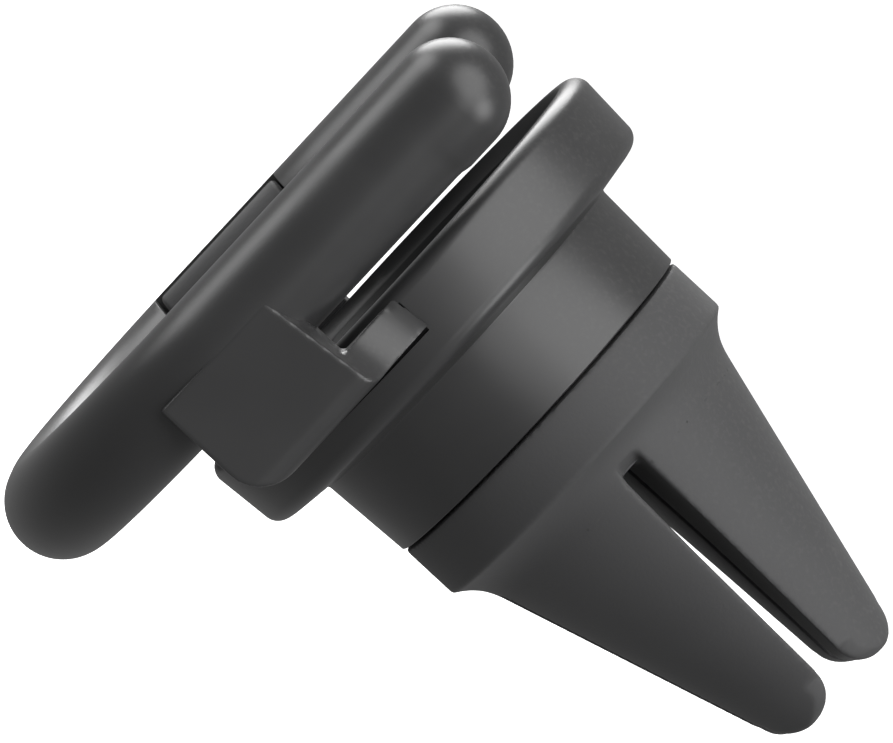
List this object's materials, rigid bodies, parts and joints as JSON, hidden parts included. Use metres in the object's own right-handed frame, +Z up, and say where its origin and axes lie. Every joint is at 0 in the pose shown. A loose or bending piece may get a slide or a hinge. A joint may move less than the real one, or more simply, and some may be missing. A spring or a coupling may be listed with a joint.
{
  "type": "car phone mount",
  "caption": "Car vent mount for a round phone grip: open U cradle on a swivelling dished disc, with a tapered rubber finger clip that grips a louvre.",
  "frame": {"origin": "on the swivel axis at the bottom of the clip's slots, where the louvre's edge comes to rest", "axes": "+Y along the swivel axis towards the fingers' tips, so the cradle faces -Y; +Z up, the way the cradle's U opens; +X to the right as seen from behind the cradle looking along +Y"},
  "size_m": [0.05, 0.0565, 0.0537],
  "materials": {
    "satin_plastic": "satin black moulded plastic",
    "soft_pad": "dead matte soft rubber",
    "slide_plastic": "smooth natural white",
    "hard_core": "plain moulded",
    "clip_rubber": "fine matte rubber",
    "steel": "zinc plated"
  },
  "bodies": {
    "clip": {"clip_core": "hard_core", "clip_cover": "clip_rubber", "friction_ring": "soft_pad", "spring_washer": "steel", "retaining_washer": "steel", "swivel_screw": "steel"},
    "head": {"cradle_frame": "satin_plastic", "grip_pad_right": "soft_pad", "grip_pad_left": "soft_pad", "head_housing": "satin_plastic", "swivel_bush": "slide_plastic", "slide_washer": "slide_plastic", "dish_cover": "satin_plastic", "dish_pad": "soft_pad"},
    "upper_jaw": {"upper_jaw_spine": "hard_core", "upper_right_finger": "clip_rubber", "upper_left_finger": "clip_rubber"},
    "lower_jaw": {"lower_jaw_spine": "hard_core", "lower_right_finger": "clip_rubber", "lower_left_finger": "clip_rubber"}
  },
  "joints": [
    {"name": "head_swivel", "type": "hinge", "parent": "clip", "child": "head", "pos_m": [0, -0.016, 0], "axis": [0, 1, 0], "continuous": true},
    {"name": "upper_jaw_flex", "type": "hinge", "parent": "clip", "child": "upper_jaw", "pos_m": [-0.00148, -0.002, 0.00837], "axis": [0.9848, 0, 0.1736], "range_deg": [0, 3], "stiffness_Nm_per_rad": 0.3},
    {"name": "lower_jaw_flex", "type": "hinge", "parent": "clip", "child": "lower_jaw", "pos_m": [0.00148, -0.002, -0.00837], "axis": [0.9848, 0, 0.1736], "range_deg": [-3, 0], "stiffness_Nm_per_rad": 0.3}
  ],
  "couplings": [
    {"joint": "lower_jaw_flex", "follows": "upper_jaw_flex", "ratio": -1}
  ]
}
